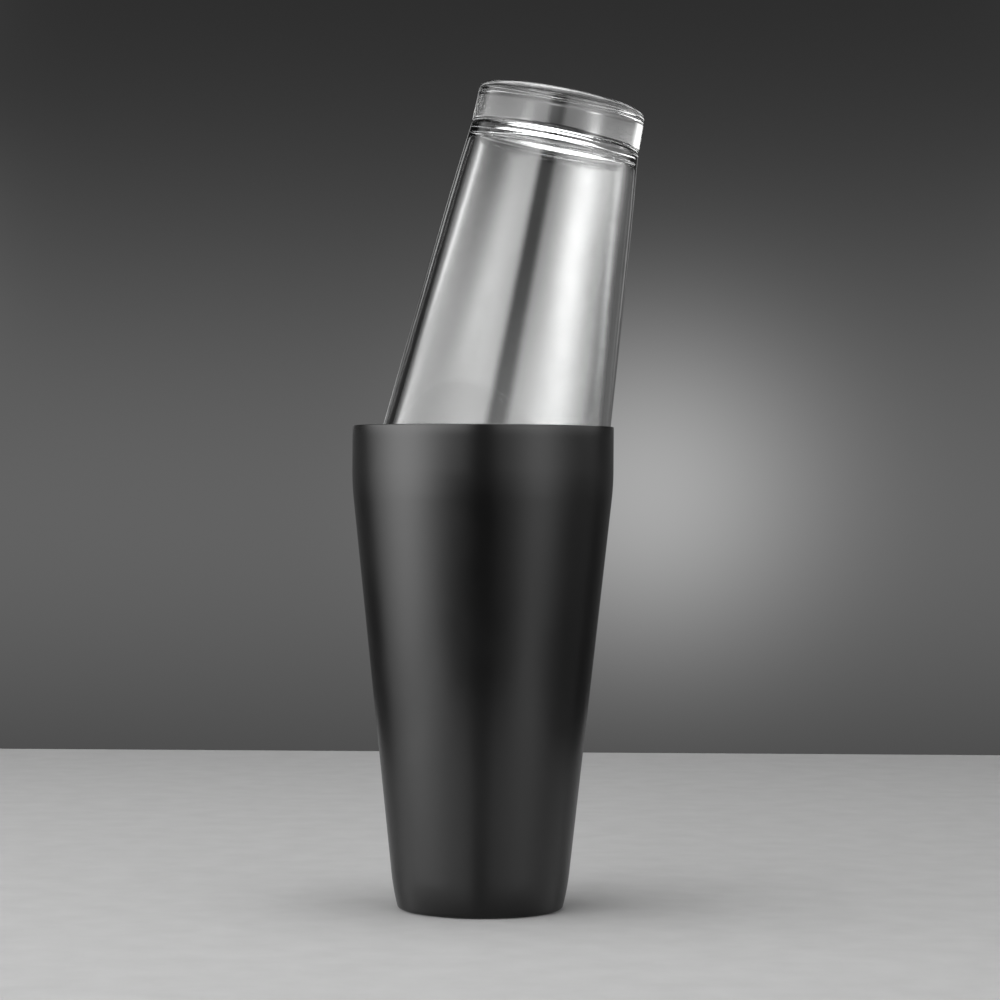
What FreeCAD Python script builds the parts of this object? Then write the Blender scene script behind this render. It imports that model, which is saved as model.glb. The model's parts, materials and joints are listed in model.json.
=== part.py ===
import FreeCAD, Part
import math
import os
import Sketcher

# Two-piece cocktail shaker: a drawn steel shaker tin standing on its flat base,
# and a pressed mixing glass turned mouth down and set at a lean in the tin's mouth.
#
# Frame: millimetres, origin at the centre of the tin's base on the tin's axis,
# +Z up along that axis. The glass leans towards +X, so XZ is the plane of symmetry.

V = FreeCAD.Vector
doc = FreeCAD.newDocument("cocktail_shaker_set")

# ---------------------------------------------------------------- dimensions
sheet = doc.addObject("Spreadsheet::Sheet", "Dims")
sheet.Label = "Dims"

DIMS = [
    # shaker tin, outside of the wall
    ("tin_height", 169.5, "base to lip"),
    ("tin_band_radius", 46.0, "straight band under the lip"),
    ("tin_bend_height", 148.9, "where the taper's line meets the band's line"),
    ("tin_bend_round", 100.0, "soft bend between taper and band"),
    ("tin_foot_height", 7.5, "where the taper's line meets the foot's line"),
    ("tin_foot_radius", 30.82, "radius at that height"),
    ("tin_foot_round", 85.0, "gentle inward curve above the base"),
    ("tin_base_radius", 29.02, "foot's line carried down to the base"),
    ("tin_base_round", 1.2, "corner between base and foot"),
    ("tin_wall", 0.8, "sheet thickness"),
    ("tin_lip_round", 0.3, "deburred lip"),
    # mixing glass, in its own frame: mouth at 0, base at the top
    ("glass_height", 154.0, "mouth to base"),
    ("glass_mouth_radius", 42.65, "outside, at the mouth"),
    ("glass_flare_drop", 40.0, "below the base, where the steeper flare ends"),
    ("glass_flare_radius", 32.75, "outside, at that place"),
    ("glass_waist_drop", 14.4, "below the base, top of the heavy base block"),
    ("glass_waist_radius", 30.0, "outside, at that place"),
    ("glass_base_radius", 29.6, "outside of the base block, carried to the base"),
    ("glass_base_round", 3.2, "rounded edge of the base"),
    ("glass_mouth_wall", 2.9, "wall at the mouth"),
    ("glass_floor_wall", 3.7, "wall at the cavity's floor"),
    ("glass_floor_thick", 15.6, "solid glass under the cavity"),
    ("glass_floor_round", 6.5, "corner of the cavity's floor"),
    ("glass_floor_dome", 0.6, "hollow of the cavity's floor, at its centre"),
    ("glass_mouth_round", 1.3, "fire-polished mouth, inside and out"),
    ("glass_groove_round", 1.1, "section radius of the mould groove at the waist"),
    ("glass_groove_depth", 0.35, "depth of that groove"),
    ("glass_dish_radius", 23.5, "shallow dish in the base"),
    ("glass_dish_depth", 1.0, "its depth"),
    # seat of the glass in the tin
    ("seat_lean", 10.72, "lean of the glass's axis, degrees"),
    ("seat_centre", -1.35, "mouth centre, along X"),
    ("seat_height", 134.2, "mouth centre, above the base"),
]
for row, (alias, value, note) in enumerate(DIMS, start=1):
    sheet.set("A%d" % row, alias)
    sheet.set("B%d" % row, str(value))
    sheet.set("C%d" % row, note)
    sheet.setAlias("B%d" % row, alias)
doc.recompute()
D = {alias: float(sheet.get(alias)) for alias, _v, _n in DIMS}


# ------------------------------------------------------------------- helpers
def origin_plane(body, role):
    for feature in body.Origin.OriginFeatures:
        if feature.Role == role:
            return feature
    raise RuntimeError("no " + role)


def new_sketch(body, name):
    sketch = body.newObject("Sketcher::SketchObject", name)
    sketch.AttachmentSupport = (origin_plane(body, "XZ_Plane"), [""])
    sketch.MapMode = "FlatFace"
    return sketch


def profile(body, name, corners):
    """A closed half section. Each corner is (radius, height, radius expression,
    height expression); an expression of None pins that value at zero."""
    sketch = new_sketch(body, name)
    n = len(corners)
    for i in range(n):
        a, b = corners[i], corners[(i + 1) % n]
        sketch.addGeometry(Part.LineSegment(V(a[0], a[1], 0), V(b[0], b[1], 0)), False)
    for i in range(n):
        sketch.addConstraint(Sketcher.Constraint("Coincident", i, 2, (i + 1) % n, 1))
    for i, (r, z, er, ez) in enumerate(corners):
        # -1,1 is the sketch's origin, -1 its X axis and -2 its Z axis
        if er is None and ez is None:
            sketch.addConstraint(Sketcher.Constraint("Coincident", i, 1, -1, 1))
            continue
        if er is None:
            sketch.addConstraint(Sketcher.Constraint("PointOnObject", i, 1, -2))
        else:
            k = sketch.addConstraint(Sketcher.Constraint("DistanceX", -1, 1, i, 1, r))
            sketch.setExpression("Constraints[%d]" % k, er)
        if ez is None:
            sketch.addConstraint(Sketcher.Constraint("PointOnObject", i, 1, -1))
        else:
            k = sketch.addConstraint(Sketcher.Constraint("DistanceY", -1, 1, i, 1, z))
            sketch.setExpression("Constraints[%d]" % k, ez)
    return sketch


def arc_section(body, name, crown_z, crown_expr, edge, edge_exprs, corners):
    """A closed half section whose first side is an arc centred on the axis, from the
    crown (0, crown_z) to the edge point, closed by straight sides through corners."""
    sketch = new_sketch(body, name)
    er, ez = edge
    rise = crown_z - ez
    radius = (er * er + rise * rise) / (2.0 * abs(rise))
    side = 1.0 if rise > 0 else -1.0
    centre_z = crown_z - side * radius
    a_crown = math.atan2(crown_z - centre_z, 0.0)
    a_edge = math.atan2(ez - centre_z, er)
    lo, hi = min(a_crown, a_edge), max(a_crown, a_edge)
    sketch.addGeometry(Part.ArcOfCircle(Part.Circle(V(0, centre_z, 0), V(0, 0, 1), radius),
                                        lo, hi), False)
    # an arc's point 1 is at its smaller angle
    p_crown, p_edge = (1, 2) if a_crown < a_edge else (2, 1)
    points = [(er, ez)] + [(c[0], c[1]) for c in corners] + [(0.0, crown_z)]
    for a, b in zip(points[:-1], points[1:]):
        sketch.addGeometry(Part.LineSegment(V(a[0], a[1], 0), V(b[0], b[1], 0)), False)
    last = len(points) - 1
    sketch.addConstraint(Sketcher.Constraint("Coincident", 0, p_edge, 1, 1))
    for i in range(1, last):
        sketch.addConstraint(Sketcher.Constraint("Coincident", i, 2, i + 1, 1))
    sketch.addConstraint(Sketcher.Constraint("Coincident", last, 2, 0, p_crown))
    sketch.addConstraint(Sketcher.Constraint("PointOnObject", 0, 3, -2))
    sketch.addConstraint(Sketcher.Constraint("PointOnObject", last, 2, -2))

    def pin(kind, geo, point, value, expr):
        k = sketch.addConstraint(Sketcher.Constraint(kind, -1, 1, geo, point, value))
        sketch.setExpression("Constraints[%d]" % k, expr)

    pin("DistanceY", last, 2, crown_z, crown_expr)
    pin("DistanceX", 1, 1, er, edge_exprs[0])
    pin("DistanceY", 1, 1, ez, edge_exprs[1])
    for i, (r, z, rx, zx) in enumerate(corners, start=2):
        if rx is None and zx is None:
            sketch.addConstraint(Sketcher.Constraint("Coincident", i, 1, -1, 1))
            continue
        if rx is None:
            sketch.addConstraint(Sketcher.Constraint("PointOnObject", i, 1, -2))
        else:
            pin("DistanceX", i, 1, r, rx)
        if zx is None:
            sketch.addConstraint(Sketcher.Constraint("PointOnObject", i, 1, -1))
        else:
            pin("DistanceY", i, 1, z, zx)
    return sketch


def turned(body, kind, name, sketch):
    feature = body.newObject("PartDesign::" + kind, name)
    feature.Profile = sketch
    feature.ReferenceAxis = (sketch, ["V_Axis"])
    feature.Angle = 360.0
    sketch.Visibility = False
    doc.recompute()
    return feature


def circle_edges(feature, height, radius=None, tol=0.02):
    """Names of the full circles of a turned feature at one height."""
    names = []
    for i, edge in enumerate(feature.Shape.Edges, start=1):
        if edge.Degenerated:
            continue
        curve = edge.Curve
        if not isinstance(curve, Part.Circle):
            continue
        if abs(curve.Center.z - height) > tol:
            continue
        if radius is not None and abs(curve.Radius - radius) > tol:
            continue
        names.append("Edge%d" % i)
    if not names:
        raise RuntimeError("no edge of %s at %g" % (feature.Name, height))
    return names


def rounded(body, name, base, edges, alias):
    feature = body.newObject("PartDesign::Fillet", name)
    feature.Base = (base, edges)
    feature.Radius = D[alias]
    feature.setExpression("Radius", "Dims." + alias)
    doc.recompute()
    return feature


# ---------------------------------------------------------------- shaker tin
# One sheet, deep drawn: flat base, a foot that curves in slightly, a long taper,
# a soft bend and a straight band up to a plain lip.
tin = doc.addObject("PartDesign::Body", "shaker_tin")
tin.Label = "shaker_tin"

tin_section = profile(tin, "TinSection", [
    (0.0, 0.0, None, None),
    (D["tin_base_radius"], 0.0, "Dims.tin_base_radius", None),
    (D["tin_foot_radius"], D["tin_foot_height"], "Dims.tin_foot_radius", "Dims.tin_foot_height"),
    (D["tin_band_radius"], D["tin_bend_height"], "Dims.tin_band_radius", "Dims.tin_bend_height"),
    (D["tin_band_radius"], D["tin_height"], "Dims.tin_band_radius", "Dims.tin_height"),
    (0.0, D["tin_height"], None, "Dims.tin_height"),
])
tin_blank = turned(tin, "Revolution", "TinBlank", tin_section)
tin_bend = rounded(tin, "TinBend", tin_blank,
                   circle_edges(tin_blank, D["tin_bend_height"]), "tin_bend_round")
tin_foot = rounded(tin, "TinFoot", tin_bend,
                   circle_edges(tin_bend, D["tin_foot_height"]), "tin_foot_round")
tin_corner = rounded(tin, "TinCorner", tin_foot,
                     circle_edges(tin_foot, 0.0), "tin_base_round")

top_face = None
for i, face in enumerate(tin_corner.Shape.Faces, start=1):
    if isinstance(face.Surface, Part.Plane) and abs(face.CenterOfMass.z - D["tin_height"]) < 0.01:
        top_face = "Face%d" % i
tin_shell = tin.newObject("PartDesign::Thickness", "TinShell")
tin_shell.Base = (tin_corner, [top_face])
tin_shell.Value = D["tin_wall"]
tin_shell.setExpression("Value", "Dims.tin_wall")
tin_shell.Reversed = True
tin_shell.Mode = 0
tin_shell.Join = 0
doc.recompute()

tin_lip = rounded(tin, "TinLip", tin_shell,
                  circle_edges(tin_shell, D["tin_height"]), "tin_lip_round")
tin.Tip = tin_lip

# -------------------------------------------------------------- mixing glass
# Pressed in one piece: a thick solid base, a slight mould groove above it, and a
# tapered wall to a fire-polished mouth. Drawn mouth down, as it sits in the tin.
glass = doc.addObject("PartDesign::Body", "mixing_glass")
glass.Label = "mixing_glass"

GH = D["glass_height"]
glass_section = profile(glass, "GlassSection", [
    (0.0, 0.0, None, None),
    (D["glass_mouth_radius"], 0.0, "Dims.glass_mouth_radius", None),
    (D["glass_flare_radius"], GH - D["glass_flare_drop"], "Dims.glass_flare_radius",
     "Dims.glass_height - Dims.glass_flare_drop"),
    (D["glass_waist_radius"], GH - D["glass_waist_drop"], "Dims.glass_waist_radius",
     "Dims.glass_height - Dims.glass_waist_drop"),
    (D["glass_base_radius"], GH, "Dims.glass_base_radius", "Dims.glass_height"),
    (0.0, GH, None, "Dims.glass_height"),
])
glass_blank = turned(glass, "Revolution", "GlassBlank", glass_section)

# the cavity, open at the mouth
floor_z = GH - D["glass_floor_thick"]
floor_r = (D["glass_waist_radius"] - D["glass_floor_wall"])
mouth_r = D["glass_mouth_radius"] - D["glass_mouth_wall"]
crown_z = floor_z + D["glass_floor_dome"]
cavity_section = arc_section(
    glass, "CavitySection",
    crown_z, "Dims.glass_height - Dims.glass_floor_thick + Dims.glass_floor_dome",
    (floor_r, floor_z), ("Dims.glass_waist_radius - Dims.glass_floor_wall",
                         "Dims.glass_height - Dims.glass_floor_thick"),
    [(mouth_r, 0.0, "Dims.glass_mouth_radius - Dims.glass_mouth_wall", None),
     (0.0, 0.0, None, None)])
glass_cavity = turned(glass, "Groove", "GlassCavity", cavity_section)

# the mould groove: a ring of small round section, mostly outside the wall
groove_sketch = new_sketch(glass, "GrooveSection")
groove_r = D["glass_waist_radius"] + D["glass_groove_round"] - D["glass_groove_depth"]
groove_z = GH - D["glass_waist_drop"]
groove_sketch.addGeometry(Part.Circle(V(groove_r, groove_z, 0), V(0, 0, 1),
                                      D["glass_groove_round"]), False)
k = groove_sketch.addConstraint(Sketcher.Constraint("Radius", 0, D["glass_groove_round"]))
groove_sketch.setExpression("Constraints[%d]" % k, "Dims.glass_groove_round")
k = groove_sketch.addConstraint(Sketcher.Constraint("DistanceX", -1, 1, 0, 3, groove_r))
groove_sketch.setExpression(
    "Constraints[%d]" % k,
    "Dims.glass_waist_radius + Dims.glass_groove_round - Dims.glass_groove_depth")
k = groove_sketch.addConstraint(Sketcher.Constraint("DistanceY", -1, 1, 0, 3, groove_z))
groove_sketch.setExpression("Constraints[%d]" % k, "Dims.glass_height - Dims.glass_waist_drop")
glass_groove = turned(glass, "Groove", "GlassGroove", groove_sketch)

# the shallow dish in the base, so the glass stands on a ring
dish_z = GH - D["glass_dish_depth"]
dish_section = arc_section(
    glass, "DishSection", dish_z, "Dims.glass_height - Dims.glass_dish_depth",
    (D["glass_dish_radius"], GH), ("Dims.glass_dish_radius", "Dims.glass_height"),
    [(0.0, GH, None, "Dims.glass_height")])
glass_dish = turned(glass, "Groove", "GlassDish", dish_section)

glass_floor = rounded(glass, "GlassFloor", glass_dish,
                      circle_edges(glass_dish, floor_z, floor_r), "glass_floor_round")
glass_edge = rounded(glass, "GlassEdge", glass_floor,
                     circle_edges(glass_floor, GH, D["glass_base_radius"]), "glass_base_round")
glass_mouth = rounded(glass, "GlassMouth", glass_edge,
                      circle_edges(glass_edge, 0.0), "glass_mouth_round")
glass.Tip = glass_mouth

# mouth down in the tin, leaning towards +X
glass.Placement = FreeCAD.Placement(V(D["seat_centre"], 0, D["seat_height"]),
                                    FreeCAD.Rotation(V(0, 1, 0), D["seat_lean"]))
glass.setExpression("Placement.Base.x", "Dims.seat_centre")
glass.setExpression("Placement.Base.z", "Dims.seat_height")
glass.setExpression("Placement.Rotation.Angle", "Dims.seat_lean")
doc.recompute()

# ------------------------------------------------------------ check and write
subparts = [tin, glass]
for obj in doc.Objects:
    if "Invalid" in obj.State or "Error" in obj.State:
        raise RuntimeError("%s did not compute: %s" % (obj.Name, obj.State))
for part in subparts:
    shape = part.Shape
    if shape.isNull() or not shape.isValid() or len(shape.Solids) != 1:
        raise RuntimeError(part.Label + " is not one valid solid")

# volumes against the features they come from: each cut must take material away
assert glass_cavity.Shape.Volume < 0.6 * glass_blank.Shape.Volume
assert glass_groove.Shape.Volume < glass_cavity.Shape.Volume - 20.0
assert glass_dish.Shape.Volume < glass_groove.Shape.Volume - 200.0
assert tin_shell.Shape.Volume < 0.1 * tin_corner.Shape.Volume
for part in subparts:
    box = part.Shape.BoundBox
    print("%-14s volume %9.1f mm3  box x %.2f %.2f  y %.2f %.2f  z %.2f %.2f" % (
        part.Label, part.Shape.Volume, box.XMin, box.XMax, box.YMin, box.YMax,
        box.ZMin, box.ZMax))

os.makedirs("parts", exist_ok=True)
for part in subparts:
    part.Shape.exportStep("parts/%s.step" % part.Label)
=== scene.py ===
import json
import math

import bmesh
import bpy
from mathutils import Matrix, Vector


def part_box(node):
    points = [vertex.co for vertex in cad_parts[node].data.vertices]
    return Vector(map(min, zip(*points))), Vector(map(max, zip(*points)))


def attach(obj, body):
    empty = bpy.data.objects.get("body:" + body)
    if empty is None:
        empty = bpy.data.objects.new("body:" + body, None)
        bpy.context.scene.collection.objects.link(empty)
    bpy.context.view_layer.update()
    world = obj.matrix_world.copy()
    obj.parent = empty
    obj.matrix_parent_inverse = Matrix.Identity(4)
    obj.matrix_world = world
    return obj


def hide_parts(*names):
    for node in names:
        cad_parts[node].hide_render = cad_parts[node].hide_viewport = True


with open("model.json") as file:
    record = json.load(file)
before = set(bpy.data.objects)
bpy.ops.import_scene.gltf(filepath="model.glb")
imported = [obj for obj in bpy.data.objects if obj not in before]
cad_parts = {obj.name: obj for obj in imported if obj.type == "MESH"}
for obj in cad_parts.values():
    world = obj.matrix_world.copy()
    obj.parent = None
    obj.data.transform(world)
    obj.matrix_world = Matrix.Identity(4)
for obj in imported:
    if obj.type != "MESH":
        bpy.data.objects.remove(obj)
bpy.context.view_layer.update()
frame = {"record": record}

MM = 0.001
SEGMENTS = 288

tin_lo, tin_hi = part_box("shaker_tin")
mounts = {m["name"]: m for m in frame["record"]["mounts"]}


# ------------------------------------------------------------------ camera
def add_camera():
    data = bpy.data.cameras.new("camera")
    data.sensor_width = 36.0
    data.lens = 107.25
    data.clip_start = 0.01
    cam = bpy.data.objects.new("camera", data)
    bpy.context.scene.collection.objects.link(cam)
    eye = Vector((0.00608, -1.050, 0.1479))
    # level but for a quarter of a degree of pitch and a little more of roll
    cam.matrix_world = (Matrix.Translation(eye)
                        @ Matrix.Rotation(math.radians(90.0 - 0.233), 4, "X")
                        @ Matrix.Rotation(math.radians(0.375), 4, "Z"))
    bpy.context.scene.camera = cam


add_camera()


# ---------------------------------------------------------------- geometry
def arc(cx, cz, r, a0, a1, n):
    """Points on an arc in the section plane, angles in degrees from +r."""
    return [(cx + r * math.cos(math.radians(a0 + (a1 - a0) * i / n)),
             cz + r * math.sin(math.radians(a0 + (a1 - a0) * i / n))) for i in range(n + 1)]


def fillet(points, index, radius, n):
    """Replaces one corner of a section with a tangent arc of n steps."""
    p = Vector(points[index])
    a = Vector(points[index - 1]) - p
    b = Vector(points[index + 1]) - p
    half = a.angle(b) / 2.0
    run = radius / math.tan(half)
    start, end = p + a.normalized() * run, p + b.normalized() * run
    centre = p + (a.normalized() + b.normalized()).normalized() * (radius / math.sin(half))
    s, e = start - centre, end - centre
    total = s.angle(e)
    out = []
    for i in range(n + 1):
        t = i / n
        v = (s * math.sin((1 - t) * total) + e * math.sin(t * total)) / math.sin(total)
        out.append(tuple(centre + v))
    return points[:index] + out + points[index + 1:]


def divided(points, longest):
    """Splits long straight steps so that faces stay near square."""
    out = [points[0]]
    for a, b in zip(points[:-1], points[1:]):
        d = math.hypot(b[0] - a[0], b[1] - a[1])
        n = max(1, int(math.ceil(d / longest)))
        out += [(a[0] + (b[0] - a[0]) * i / n, a[1] + (b[1] - a[1]) * i / n)
                for i in range(1, n + 1)]
    return out


def lathe(name, section, material_of=None, wobble=None):
    """A closed turned mesh from a section that starts and ends on the axis."""
    bm = bmesh.new()
    rings = []
    for k, (r, z) in enumerate(section):
        if r < 1e-6:
            rings.append([bm.verts.new((0.0, 0.0, z * MM))])
            continue
        ring = []
        for i in range(SEGMENTS):
            a = 2.0 * math.pi * i / SEGMENTS
            rr = r + (wobble(k, r, z, a) if wobble else 0.0)
            ring.append(bm.verts.new((rr * MM * math.cos(a), rr * MM * math.sin(a), z * MM)))
        rings.append(ring)
    for k in range(len(rings) - 1):
        a, b = rings[k], rings[k + 1]
        if len(a) == 1 and len(b) == 1:
            continue
        for i in range(SEGMENTS):
            j = (i + 1) % SEGMENTS
            if len(a) == 1:
                f = bm.faces.new((a[0], b[j], b[i]))
            elif len(b) == 1:
                f = bm.faces.new((a[i], a[j], b[0]))
            else:
                f = bm.faces.new((a[i], a[j], b[j], b[i]))
            f.smooth = True
            if material_of:
                f.material_index = material_of(k)
    bmesh.ops.recalc_face_normals(bm, faces=bm.faces)
    mesh = bpy.data.meshes.new(name)
    bm.to_mesh(mesh)
    bm.free()
    obj = bpy.data.objects.new(name, mesh)
    bpy.context.scene.collection.objects.link(obj)
    return obj


# ---- shaker tin: outside line from the base's centre to the lip, then back inside
TIN_H = (tin_hi.z - tin_lo.z) / MM
TIN_R = (tin_hi.x - tin_lo.x) / 2.0 / MM
WALL = 0.8
outside = [(0.0, 0.0), (29.02, 0.0), (30.82, 7.5), (TIN_R, 148.9), (TIN_R, TIN_H - 0.3)]
outside = fillet(outside, 3, 100.0, 28)
outside = fillet(outside, 2, 85.0, 18)
outside = fillet(outside, 1, 1.2, 10)
inside = [(0.0, WALL), (29.02 - WALL * 1.06, WALL), (30.82 - WALL, 7.5),
          (TIN_R - WALL, 148.9), (TIN_R - WALL, TIN_H - 0.3)]
inside = fillet(inside, 3, 99.2, 28)
inside = fillet(inside, 2, 84.2, 18)
inside = fillet(inside, 1, 1.6, 10)
lip = (arc(TIN_R - 0.3, TIN_H - 0.3, 0.3, 0, 90, 6)[1:]
       + arc(TIN_R - WALL + 0.3, TIN_H - 0.3, 0.3, 90, 180, 6)[:-1])
outside = divided(outside, 4.0)
inside = divided(inside, 4.0)
tin_section = outside + lip + inside[::-1]
n_out = len(outside) + 4          # the coating wraps just over the lip's outer edge
tin = lathe("shaker_tin_shell", tin_section, lambda k: 0 if k < n_out else 1)

# ---- mixing glass: in its own frame, mouth at 0 and base at the top
GLASS_H = 154.0
R_MOUTH, R_FLARE, R_WAIST, R_BASE = 42.65, 32.75, 30.0, 29.6
Z_FLARE, Z_WAIST = GLASS_H - 40.0, GLASS_H - 14.4
DISH_R, DISH_D = 23.5, 1.0
RI_MOUTH, RI_FLOOR = R_MOUTH - 2.9, R_WAIST - 3.7
Z_FLOOR, FLOOR_DOME = GLASS_H - 15.6, 0.6


def cap(radius, rise, z_edge, n):
    """A shallow arc from the axis out to an edge; rise is crown above edge."""
    big = (radius * radius + rise * rise) / (2.0 * abs(rise))
    sign = 1.0 if rise > 0 else -1.0
    cz = z_edge + rise - sign * big
    out = []
    for i in range(n + 1):
        r = radius * i / n
        out.append((r, cz + sign * math.sqrt(big * big - r * r)))
    return out


dish = cap(DISH_R, -DISH_D, GLASS_H, 14)
outer = dish + [(R_BASE, GLASS_H), (R_WAIST - 0.02, Z_WAIST)]
outer = fillet(outer, len(dish), 3.2, 16)
# mould groove: a small round channel with softened shoulders
groove = []
for i in range(-18, 19):
    t = i / 18.0 * 1.7
    depth = 0.35 * math.exp(-(t / 0.62) ** 2)
    z = Z_WAIST - t
    slope_up = (R_BASE - R_WAIST) / (GLASS_H - Z_WAIST)
    slope_dn = (R_FLARE - R_WAIST) / (Z_FLARE - Z_WAIST)
    r = R_WAIST + (z - Z_WAIST) * (slope_up if z > Z_WAIST else slope_dn)
    groove.append((r - depth, z))
outer = outer[:-1] + groove
wall = []
for i in range(1, 61):
    z = groove[-1][1] * (1 - i / 60.0) + 1.3 * (i / 60.0)
    if z > Z_FLARE:
        r = R_WAIST + (z - Z_WAIST) * (R_FLARE - R_WAIST) / (Z_FLARE - Z_WAIST)
    else:
        r = R_FLARE + (z - Z_FLARE) * (R_MOUTH - R_FLARE) / (0.0 - Z_FLARE)
    # the change of taper is eased over 24 mm, not a line round the glass
    u = (z - Z_FLARE) / 12.0
    if abs(u) < 1.0:
        r -= 0.06 * (1.0 - abs(u)) ** 2
    wall.append((r, z))
mouth_t = 1.3
mouth = (arc(R_MOUTH - mouth_t, mouth_t, mouth_t, 0, -90, 10)[1:]
         + arc(RI_MOUTH + mouth_t, mouth_t, mouth_t, -90, -180, 10)[:-1])
floor_cap = cap(RI_FLOOR, FLOOR_DOME, Z_FLOOR, 14)
inner = [(RI_MOUTH, 1.3), (RI_FLOOR, Z_FLOOR)] + floor_cap[::-1][1:]
inner = fillet(inner, 1, 6.5, 24)
inner = divided(inner[:2], 3.0)[:-1] + inner[1:]
glass_section = outer + wall + mouth + inner

outer_count = len(outer) + len(wall)


def pressed(k, r, z, a):
    """The slow waviness that pressing leaves, a few hundredths of a millimetre."""
    w = (math.sin(3 * a + z * 0.021) * 0.45 + math.sin(5 * a - z * 0.034 + 1.3) * 0.30
         + math.sin(8 * a + z * 0.055 + 2.1) * 0.15)
    amp = 0.018 if k < outer_count else 0.05
    return amp * w * min(1.0, r / 10.0)


glass = lathe("mixing_glass_body", glass_section, None, pressed)
seat = mounts["glass_base"]
up = Vector(seat["axis"]).normalized()
lean = math.atan2(up.x, up.z)
ring_point = Vector(seat["pos_m"])
base_centre = Vector((ring_point.x, 0.0, ring_point.z))
mouth_centre = base_centre - up * (GLASS_H * MM)
glass.data.transform(Matrix.Translation(mouth_centre) @ Matrix.Rotation(lean, 4, "Y"))


# --------------------------------------------------------------- materials
def material(name):
    m = bpy.data.materials.new(name)
    m.use_nodes = True
    nt = m.node_tree
    return m, nt, nt.nodes["Principled BSDF"]


def node(nt, kind, **values):
    n = nt.nodes.new(kind)
    for key, value in values.items():
        setattr(n, key, value)
    return n


def ramp(nt, source, stops):
    r = node(nt, "ShaderNodeValToRGB")
    e = r.color_ramp.elements
    while len(e) > 1:
        e.remove(e[-1])
    e[0].position, e[0].color = stops[0][0], (stops[0][1],) * 3 + (1,)
    for pos, v in stops[1:]:
        s = e.new(pos)
        s.color = (v,) * 3 + (1,)
    nt.links.new(source, r.inputs["Fac"])
    return r


# matt black coating: fine spray texture, faint unevenness of sheen
coat, nt, b = material("matt_black_coating")
b.inputs["Metallic"].default_value = 0.0
b.inputs["IOR"].default_value = 1.42
tex = node(nt, "ShaderNodeTexCoord")
fine = node(nt, "ShaderNodeTexNoise")
fine.inputs["Scale"].default_value = 2600.0
fine.inputs["Detail"].default_value = 3.0
nt.links.new(tex.outputs["Object"], fine.inputs["Vector"])
slow = node(nt, "ShaderNodeTexNoise")
slow.inputs["Scale"].default_value = 45.0
slow.inputs["Detail"].default_value = 4.0
nt.links.new(tex.outputs["Object"], slow.inputs["Vector"])
colour = ramp(nt, slow.outputs["Fac"], [(0.3, 0.0018), (0.7, 0.0030)])
nt.links.new(colour.outputs["Color"], b.inputs["Base Color"])
rough = ramp(nt, slow.outputs["Fac"], [(0.3, 0.22), (0.7, 0.26)])
nt.links.new(rough.outputs["Color"], b.inputs["Roughness"])
bump = node(nt, "ShaderNodeBump")
bump.inputs["Strength"].default_value = 0.12
bump.inputs["Distance"].default_value = 0.00006
nt.links.new(fine.outputs["Fac"], bump.inputs["Height"])
nt.links.new(bump.outputs["Normal"], b.inputs["Normal"])

# bare steel inside: satin, with fine turned lines round the axis
steel, nt, b = material("satin_steel_inside")
b.inputs["Metallic"].default_value = 1.0
tex = node(nt, "ShaderNodeTexCoord")
sep = node(nt, "ShaderNodeSeparateXYZ")
nt.links.new(tex.outputs["Object"], sep.inputs["Vector"])
comb = node(nt, "ShaderNodeCombineXYZ")
nt.links.new(sep.outputs["Z"], comb.inputs["Z"])
lines = node(nt, "ShaderNodeTexNoise")
lines.inputs["Scale"].default_value = 1400.0
lines.inputs["Detail"].default_value = 5.0
nt.links.new(comb.outputs["Vector"], lines.inputs["Vector"])
colour = ramp(nt, lines.outputs["Fac"], [(0.25, 0.50), (0.75, 0.60)])
nt.links.new(colour.outputs["Color"], b.inputs["Base Color"])
rough = ramp(nt, lines.outputs["Fac"], [(0.25, 0.24), (0.75, 0.34)])
nt.links.new(rough.outputs["Color"], b.inputs["Roughness"])
bump = node(nt, "ShaderNodeBump")
bump.inputs["Strength"].default_value = 0.25
bump.inputs["Distance"].default_value = 0.00004
nt.links.new(lines.outputs["Fac"], bump.inputs["Height"])
nt.links.new(bump.outputs["Normal"], b.inputs["Normal"])

tin.data.materials.append(coat)
tin.data.materials.append(steel)

# clear soda-lime glass with a trace of green and the faint ripple of pressing
clear, nt, b = material("clear_glass")
b.inputs["Base Color"].default_value = (0.985, 0.99, 0.988, 1.0)
b.inputs["Transmission Weight"].default_value = 1.0
b.inputs["IOR"].default_value = 1.52
tex = node(nt, "ShaderNodeTexCoord")
ripple = node(nt, "ShaderNodeTexNoise")
ripple.inputs["Scale"].default_value = 70.0
ripple.inputs["Detail"].default_value = 2.0
nt.links.new(tex.outputs["Object"], ripple.inputs["Vector"])
rough = ramp(nt, ripple.outputs["Fac"], [(0.3, 0.0), (0.8, 0.012)])
nt.links.new(rough.outputs["Color"], b.inputs["Roughness"])
bump = node(nt, "ShaderNodeBump")
bump.inputs["Strength"].default_value = 0.06
bump.inputs["Distance"].default_value = 0.0006
nt.links.new(ripple.outputs["Fac"], bump.inputs["Height"])
nt.links.new(bump.outputs["Normal"], b.inputs["Normal"])
glass.data.materials.append(clear)

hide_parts("shaker_tin")
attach(tin, "tin")
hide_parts("mixing_glass")
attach(glass, "glass")

# ------------------------------------------------------------------- stage
def grid_floor(name, xs, ys, hole=None):
    """A flat floor of rectangles between the given lines, with one left out."""
    verts = [(x, y, -0.0002) for y in ys for x in xs]
    n = len(xs)
    faces = [(j * n + i, j * n + i + 1, (j + 1) * n + i + 1, (j + 1) * n + i)
             for j in range(len(ys) - 1) for i in range(n - 1) if (i, j) != hole]
    mesh = bpy.data.meshes.new(name)
    mesh.from_pydata(verts, [], faces)
    mesh.update()
    obj = bpy.data.objects.new(name, mesh)
    bpy.context.scene.collection.objects.link(obj)
    obj.data.materials.append(pale)
    return obj


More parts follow.
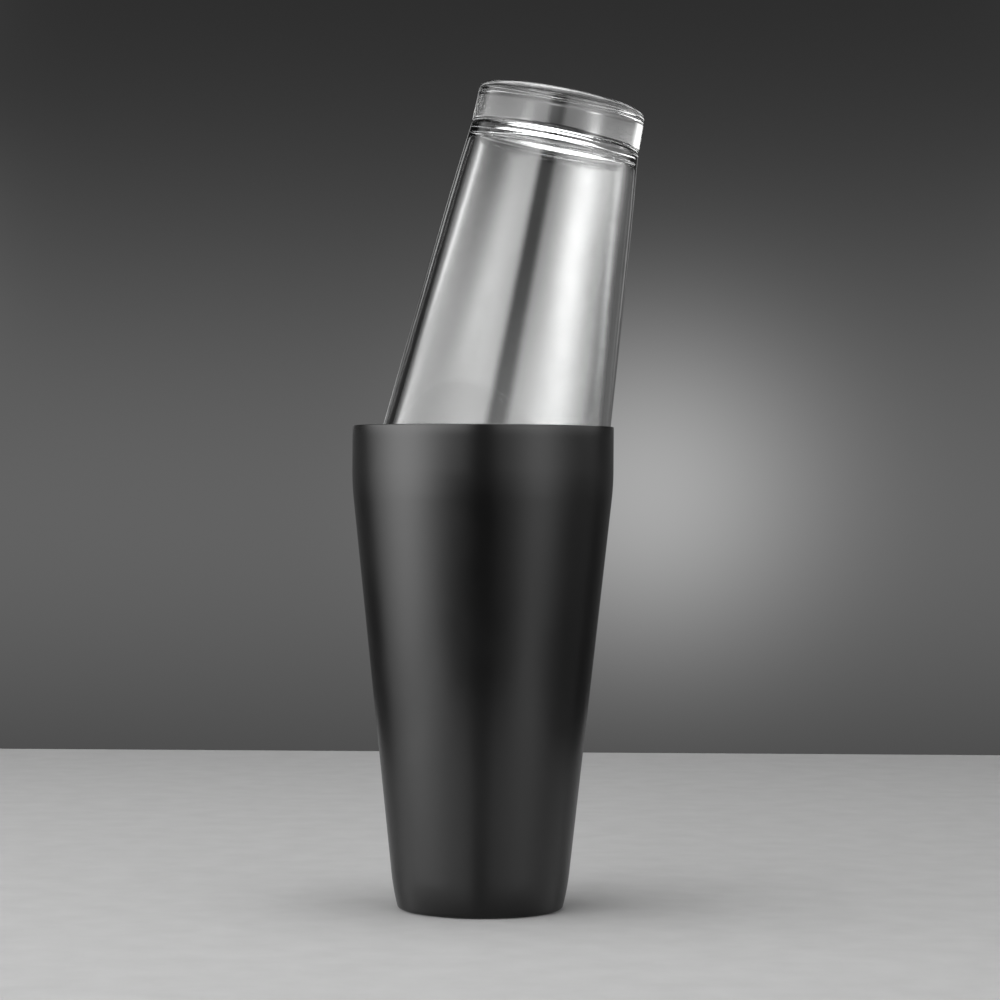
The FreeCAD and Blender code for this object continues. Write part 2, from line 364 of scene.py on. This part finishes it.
pale, nt, b = material("pale_floor")
tex = node(nt, "ShaderNodeTexCoord")
grain = node(nt, "ShaderNodeTexNoise")
grain.inputs["Scale"].default_value = 60.0
grain.inputs["Detail"].default_value = 6.0
nt.links.new(tex.outputs["Object"], grain.inputs["Vector"])
colour = ramp(nt, grain.outputs["Fac"], [(0.3, 0.54), (0.7, 0.58)])
nt.links.new(colour.outputs["Color"], b.inputs["Base Color"])
b.inputs["Roughness"].default_value = 0.14
# seen straight on it is nearly matt, so the lights do not glare off it from any side
flat = node(nt, "ShaderNodeBsdfDiffuse")
nt.links.new(colour.outputs["Color"], flat.inputs["Color"])
sheen = node(nt, "ShaderNodeBsdfAnisotropic")
sheen.inputs["Roughness"].default_value = 0.16
soft_floor = node(nt, "ShaderNodeMixShader")
soft_floor.inputs["Fac"].default_value = 0.09
nt.links.new(flat.outputs["BSDF"], soft_floor.inputs[1])
nt.links.new(sheen.outputs["BSDF"], soft_floor.inputs[2])
path = node(nt, "ShaderNodeLightPath")
pick = node(nt, "ShaderNodeMixShader")
nt.links.new(path.outputs["Is Camera Ray"], pick.inputs["Fac"])
nt.links.new(b.outputs["BSDF"], pick.inputs[1])
nt.links.new(soft_floor.outputs["Shader"], pick.inputs[2])
nt.links.new(pick.outputs["Shader"], nt.nodes["Material Output"].inputs["Surface"])

# the middle of the floor, and the rest of it, which the tin's sides do not mirror: they
# mirror the lights that stand beyond a small table instead
grid_floor("floor", (-0.27, 0.27), (-0.27, 0.62))
outer = grid_floor("floor_outer", (-0.66, -0.27, 0.27, 0.66), (-0.66, -0.27, 0.62), hole=(1, 1))
outer.visible_glossy = False
outer.visible_shadow = False

world = bpy.data.worlds.new("studio")
bpy.context.scene.world = world
world.use_nodes = True
nt = world.node_tree
back = nt.nodes["Background"]
tex = node(nt, "ShaderNodeTexCoord")
sep = node(nt, "ShaderNodeSeparateXYZ")
nt.links.new(tex.outputs["Generated"], sep.inputs["Vector"])


def maths(operation, a, b=None):
    n = node(nt, "ShaderNodeMath", operation=operation)
    for socket, value in zip(n.inputs, (a, b)):
        if isinstance(value, (int, float)):
            socket.default_value = value
        elif value is not None:
            nt.links.new(value, socket)
    return n.outputs["Value"]


def falloff(value, centre, width):
    t = maths("DIVIDE", maths("SUBTRACT", value, centre), width)
    return maths("POWER", math.e, maths("MULTIPLY", maths("MULTIPLY", t, t), -1.0))


# a dark studio with a soft band of light at the horizon and a glow behind the object
band = maths("MULTIPLY", falloff(sep.outputs["Z"], -0.01, 0.10), 0.10)
glow = maths("MULTIPLY", falloff(sep.outputs["Z"], 0.0, 0.050), falloff(sep.outputs["X"], 0.050, 0.052))
glow = maths("MULTIPLY", maths("MULTIPLY", glow, 0.27), maths("GREATER_THAN", sep.outputs["Y"], 0.0))
# two soft strips just outside the picture, which draw the thin bright line along the
# glass's outline
rise = maths("MULTIPLY", maths("SUBTRACT", sep.outputs["Z"], 0.02), 25.0)
rise = maths("MINIMUM", maths("MAXIMUM", rise, 0.0), 1.0)
strips = maths("ADD", maths("MULTIPLY", falloff(sep.outputs["X"], -0.28, 0.055), 0.80),
               maths("MULTIPLY", falloff(sep.outputs["X"], 0.28, 0.055), 0.35))
strips = maths("MULTIPLY", strips, rise)
strips = maths("MULTIPLY", strips, falloff(sep.outputs["Z"], 0.10, 0.16))
dip = maths("MULTIPLY", falloff(sep.outputs["Z"], 0.130, 0.026), 0.72)
strips = maths("MULTIPLY", strips, maths("SUBTRACT", 1.0, dip))
strips = maths("MULTIPLY", strips, maths("GREATER_THAN", sep.outputs["Y"], 0.0))
level = maths("ADD", maths("ADD", maths("ADD", band, glow), strips), 0.022)
nt.links.new(level, back.inputs["Color"])
back.inputs["Strength"].default_value = 1.0


def softbox(name, azimuth, distance, height, wide, tall, radiance, soft, aim=0.16):
    """A soft panel; azimuth 0 is behind the camera, +90 at the object's +X side.
    soft is the share of the panel over which its brightness falls off at each edge:
    towards -azimuth, towards +azimuth, at the bottom and at the top."""
    data = bpy.data.lights.new(name, "AREA")
    data.shape = "RECTANGLE"
    data.size = wide
    data.size_y = tall
    data.energy = radiance * math.pi * wide * tall
    data.use_nodes = True
    nt = data.node_tree
    emit = nt.nodes["Emission"]
    geo = node(nt, "ShaderNodeNewGeometry")
    sep = node(nt, "ShaderNodeSeparateXYZ")
    nt.links.new(geo.outputs["Parametric"], sep.inputs["Vector"])
    level = None
    for channel, edge, flip in (("X", soft[0], False), ("X", soft[1], True),
                                ("Y", soft[2], False), ("Y", soft[3], True)):
        if edge <= 0.0:
            continue
        m = node(nt, "ShaderNodeMapRange", interpolation_type="SMOOTHSTEP")
        nt.links.new(sep.outputs[channel], m.inputs["Value"])
        m.inputs["From Min"].default_value = 1.0 - edge if flip else 0.0
        m.inputs["From Max"].default_value = 1.0 if flip else edge
        m.inputs["To Min"].default_value = 1.0 if flip else 0.0
        m.inputs["To Max"].default_value = 0.0 if flip else 1.0
        if level is None:
            level = m.outputs["Result"]
        else:
            mul = node(nt, "ShaderNodeMath", operation="MULTIPLY")
            nt.links.new(level, mul.inputs[0])
            nt.links.new(m.outputs["Result"], mul.inputs[1])
            level = mul.outputs["Value"]
    if level is not None:
        nt.links.new(level, emit.inputs["Strength"])
    obj = bpy.data.objects.new(name, data)
    bpy.context.scene.collection.objects.link(obj)
    a = math.radians(azimuth)
    place = Vector((distance * math.sin(a), -distance * math.cos(a), height))
    obj.location = place
    obj.rotation_euler = (Vector((0, 0, aim)) - place).to_track_quat("-Z", "Y").to_euler()
    return obj


def smooth(lo, hi, v):
    t = min(1.0, max(0.0, (v - lo) / (hi - lo)))
    return t * t * (3.0 - 2.0 * t)


def bell(v, centre, width):
    return math.exp(-((v - centre) / width) ** 2)


def wall_glow(az, z):
    """Brightness of the soft light wall: two wide banks, dark between them where the
    camera stands, stronger low down at the two sides."""
    side = abs(az)
    gate = smooth(4.5, 15.5, side)
    high = smooth(0.20, 0.40, z)
    low = smooth(-0.36, -0.08, z) * (1.0 - smooth(0.30, 0.62, z)) * (1.0 - smooth(104.0, 128.0, side))
    if az < 0.0:
        high *= (1.0 - smooth(0.70, 1.02, z)) * (1.0 - smooth(110.0, 132.0, side))
        up_level = 2.6 + 2.1 * bell(side, 34.0, 36.0)
        low_level = 5.2 * bell(side, 68.0, 30.0) + 0.2
    else:
        high *= (1.0 - smooth(0.50, 0.80, z)) * (1.0 - smooth(108.0, 132.0, side))
        up_level = 1.85 + 1.15 * bell(side, 42.0, 36.0)
        low_level = 1.9 * bell(side, 50.0, 22.0) + 0.2
    return gate * (high * up_level + low * low_level)


def light_wall(radius=1.35, z0=-0.44, z1=1.04, n_az=168, n_z=50):
    verts, faces, glow, through = [], [], [], []
    for j in range(n_z + 1):
        z = z0 + (z1 - z0) * j / n_z
        for i in range(n_az + 1):
            az = -144.0 + 288.0 * i / n_az
            t = math.radians(az)
            verts.append((radius * math.sin(t), -radius * math.cos(t), z))
            glow.append(wall_glow(az, z))
            through.append(smooth(0.30, 0.44, z))
    for j in range(n_z):
        for i in range(n_az):
            k = j * (n_az + 1) + i
            if max(glow[k], glow[k + 1], glow[k + n_az + 1], glow[k + n_az + 2]) > 0.0:
                faces.append((k, k + 1, k + n_az + 2, k + n_az + 1))
    mesh = bpy.data.meshes.new("light_wall")
    mesh.from_pydata(verts, [], faces)
    mesh.update()
    attribute = mesh.attributes.new("glow", "FLOAT", "POINT")
    attribute.data.foreach_set("value", glow)
    attribute = mesh.attributes.new("through", "FLOAT", "POINT")
    attribute.data.foreach_set("value", through)
    m = bpy.data.materials.new("soft_light")
    m.use_nodes = True
    nt = m.node_tree
    nt.nodes.clear()
    out = node(nt, "ShaderNodeOutputMaterial")
    add = node(nt, "ShaderNodeAddShader")
    clear_part = node(nt, "ShaderNodeBsdfTransparent")
    emit = node(nt, "ShaderNodeEmission")
    att = node(nt, "ShaderNodeAttribute", attribute_name="glow")
    # looked at straight through the glass, only its upper part shows, so that it does
    # not fill the glass from behind in a view from the side
    path = node(nt, "ShaderNodeLightPath")
    level = None
    for name, test, limit in (("Transmission Depth", "GREATER_THAN", 0.5),
                              ("Glossy Depth", "LESS_THAN", 0.5),
                              ("Diffuse Depth", "LESS_THAN", 0.5)):
        t = node(nt, "ShaderNodeMath", operation=test)
        nt.links.new(path.outputs[name], t.inputs[0])
        t.inputs[1].default_value = limit
        if level is None:
            level = t.outputs["Value"]
        else:
            m2 = node(nt, "ShaderNodeMath", operation="MULTIPLY")
            nt.links.new(level, m2.inputs[0])
            nt.links.new(t.outputs["Value"], m2.inputs[1])
            level = m2.outputs["Value"]
    part = node(nt, "ShaderNodeAttribute", attribute_name="through")
    share = node(nt, "ShaderNodeMix", data_type="FLOAT")
    nt.links.new(level, share.inputs["Factor"])
    share.inputs["A"].default_value = 1.0
    nt.links.new(part.outputs["Fac"], share.inputs["B"])
    strength = node(nt, "ShaderNodeMath", operation="MULTIPLY")
    nt.links.new(att.outputs["Fac"], strength.inputs[0])
    nt.links.new(share.outputs["Result"], strength.inputs[1])
    nt.links.new(strength.outputs["Value"], emit.inputs["Strength"])
    nt.links.new(clear_part.outputs["BSDF"], add.inputs[0])
    nt.links.new(emit.outputs["Emission"], add.inputs[1])
    nt.links.new(add.outputs["Shader"], out.inputs["Surface"])
    mesh.materials.append(m)
    obj = bpy.data.objects.new("light_wall", mesh)
    bpy.context.scene.collection.objects.link(obj)
    obj.visible_camera = False
    obj.visible_shadow = False
    return obj


def light_ceiling(radius=1.3, height=1.4, n_r=16, n_a=72):
    """A wide soft light overhead that only the shiny surfaces show: it draws the bright
    rings in the glass's base."""
    verts, glow = [(0.0, 0.0, height)], [1.0]
    for i in range(1, n_r + 1):
        r = radius * i / n_r
        for k in range(n_a):
            t = math.tau * k / n_a
            verts.append((r * math.cos(t), r * math.sin(t), height))
            glow.append(1.0 - smooth(0.55 * radius, radius, r))
    faces = [(0, 1 + k, 1 + (k + 1) % n_a) for k in range(n_a)]
    for i in range(1, n_r):
        for k in range(n_a):
            p, q = 1 + (i - 1) * n_a, 1 + i * n_a
            faces.append((p + k, q + k, q + (k + 1) % n_a, p + (k + 1) % n_a))
    mesh = bpy.data.meshes.new("light_ceiling")
    mesh.from_pydata(verts, [], faces)
    mesh.update()
    attribute = mesh.attributes.new("glow", "FLOAT", "POINT")
    attribute.data.foreach_set("value", glow)
    m = bpy.data.materials.new("soft_ceiling")
    m.use_nodes = True
    nt = m.node_tree
    nt.nodes.clear()
    out = node(nt, "ShaderNodeOutputMaterial")
    emit = node(nt, "ShaderNodeEmission")
    att = node(nt, "ShaderNodeAttribute", attribute_name="glow")
    scale = node(nt, "ShaderNodeMath", operation="MULTIPLY")
    nt.links.new(att.outputs["Fac"], scale.inputs[0])
    scale.inputs[1].default_value = 3.8
    nt.links.new(scale.outputs["Value"], emit.inputs["Strength"])
    nt.links.new(emit.outputs["Emission"], out.inputs["Surface"])
    mesh.materials.append(m)
    obj = bpy.data.objects.new("light_ceiling", mesh)
    bpy.context.scene.collection.objects.link(obj)
    obj.visible_camera = False
    obj.visible_diffuse = False
    obj.visible_shadow = False
    return obj


light_wall()
light_ceiling()
softbox("top", 0.0, 0.001, 1.35, 0.95, 0.95, 6.0, (0.3, 0.3, 0.3, 0.3))

bpy.context.scene.view_settings.view_transform = "Standard"
